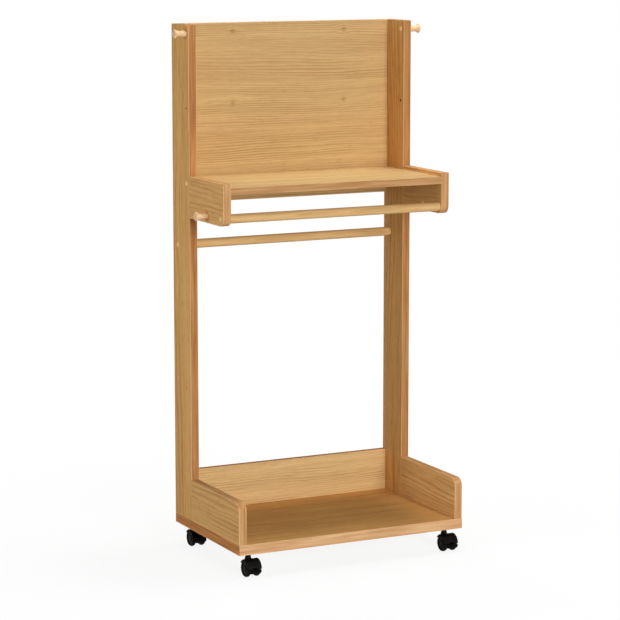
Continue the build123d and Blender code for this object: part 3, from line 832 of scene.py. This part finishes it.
def light_world(stage):
    """White behind everything, and an even dimmer light on the rack."""
    world = bpy.data.worlds.new("rack_world")
    bpy.context.scene.world = world
    world.use_nodes = True
    tree = world.node_tree
    tree.nodes.clear()
    output = tree.nodes.new("ShaderNodeOutputWorld")
    background = tree.nodes.new("ShaderNodeBackground")
    background.inputs["Color"].default_value = WHITE
    strength = tree.nodes.new("ShaderNodeMapRange")
    strength.inputs["To Min"].default_value = stage.ambient
    strength.inputs["To Max"].default_value = 1.0
    tree.links.new(seen_directly(tree), strength.inputs["Value"])
    tree.links.new(strength.outputs["Result"], background.inputs["Strength"])
    tree.links.new(background.outputs["Background"], output.inputs["Surface"])


def floor_material(stage):
    """Pale floor that the camera sees nearly white, with the rack's shadow near it."""
    sheet = Sheet("pale_floor")
    sheet.tree.nodes.remove(sheet.shader)
    seen = seen_directly(sheet.tree)
    coat = sheet.add("ShaderNodeBsdfDiffuse")
    sheet.feed(coat.inputs["Color"], sheet.blend(seen, shown(stage.floor_tone), WHITE))
    glow = sheet.add("ShaderNodeEmission")
    from_middle = sheet.add("ShaderNodeVectorMath", operation="LENGTH")
    sheet.feed(from_middle.inputs[0], sheet.places.outputs["Object"])
    far = sheet.ramp(from_middle.outputs["Value"], SHADOW_CORE * stage.shadow_reach, stage.shadow_reach)
    share = sheet.math("MULTIPLY_ADD", far, 1.0 - stage.near_glow, stage.near_glow)
    mix = sheet.add("ShaderNodeMixShader")
    sheet.feed(mix.inputs["Fac"], sheet.math("MULTIPLY", share, seen))
    sheet.feed(mix.inputs[1], coat.outputs["BSDF"])
    sheet.feed(mix.inputs[2], glow.outputs["Emission"])
    sheet.feed(sheet.output.inputs["Surface"], mix.outputs["Shader"])
    return sheet.material


def lay_floor(stage):
    """The floor, a wide square at the rack's feet."""
    bm = bmesh.new()
    bmesh.ops.create_grid(bm, x_segments=1, y_segments=1, size=stage.floor_size / 2)
    mesh = bpy.data.meshes.new("floor")
    bm.to_mesh(mesh)
    bm.free()
    mesh.materials.append(floor_material(stage))
    floor = bpy.data.objects.new("floor", mesh)
    bpy.context.scene.collection.objects.link(floor)


class RACK_OT_stage(RackOperator, bpy.types.Operator):
    """Set up the floor, lamps, background and camera"""

    bl_idname = "rack.stage"
    bl_label = "Stage"

    def execute(self, context):
        stage = context.scene.rack_stage
        context.scene.view_settings.view_transform = "Standard"
        lay_floor(stage)
        light_world(stage)
        for name, place in LAMPS.items():
            place_lamp(f"{name}_lamp", place, getattr(stage, f"{name}_power"), stage.aim_height)
        place_camera(stage)
        return {"FINISHED"}


class RACK_PT_panel(bpy.types.Panel):
    """Lists the rack's steps and settings."""

    bl_label = "Clothes rack"
    bl_space_type = "VIEW_3D"
    bl_region_type = "UI"
    bl_category = "Rack"

    def draw(self, context):
        for operator in OPERATORS:
            self.layout.operator(operator.bl_idname)
        for name in GROUPS:
            settings = getattr(context.scene, name)
            for key in settings.bl_rna.properties.keys():
                if key not in ("name", "rna_type"):
                    self.layout.prop(settings, key)


OPERATORS = (
    RACK_OT_boards,
    RACK_OT_rods,
    RACK_OT_pegs,
    RACK_OT_fasteners,
    RACK_OT_caster_bodies,
    RACK_OT_grip_ridges,
    RACK_OT_caster_wheels,
    RACK_OT_stage,
)
GROUPS = {"rack_wood": RackWood, "rack_fittings": RackFittings, "rack_stage": RackStage}
CLASSES = (*GROUPS.values(), *OPERATORS, RACK_PT_panel)


def register():
    """Makes the classes and the scene's settings known."""
    for item in CLASSES:
        bpy.utils.register_class(item)
    for name, group in GROUPS.items():
        setattr(bpy.types.Scene, name, PointerProperty(type=group))


def unregister():
    """Takes them away again."""
    for name in GROUPS:
        delattr(bpy.types.Scene, name)
    for item in reversed(CLASSES):
        bpy.utils.unregister_class(item)


def main():
    """Builds the whole picture."""
    register()
    for operator in OPERATORS:
        area, name = operator.bl_idname.split(".")
        getattr(getattr(bpy.ops, area), name)()


if __name__ == "__main__":
    main()
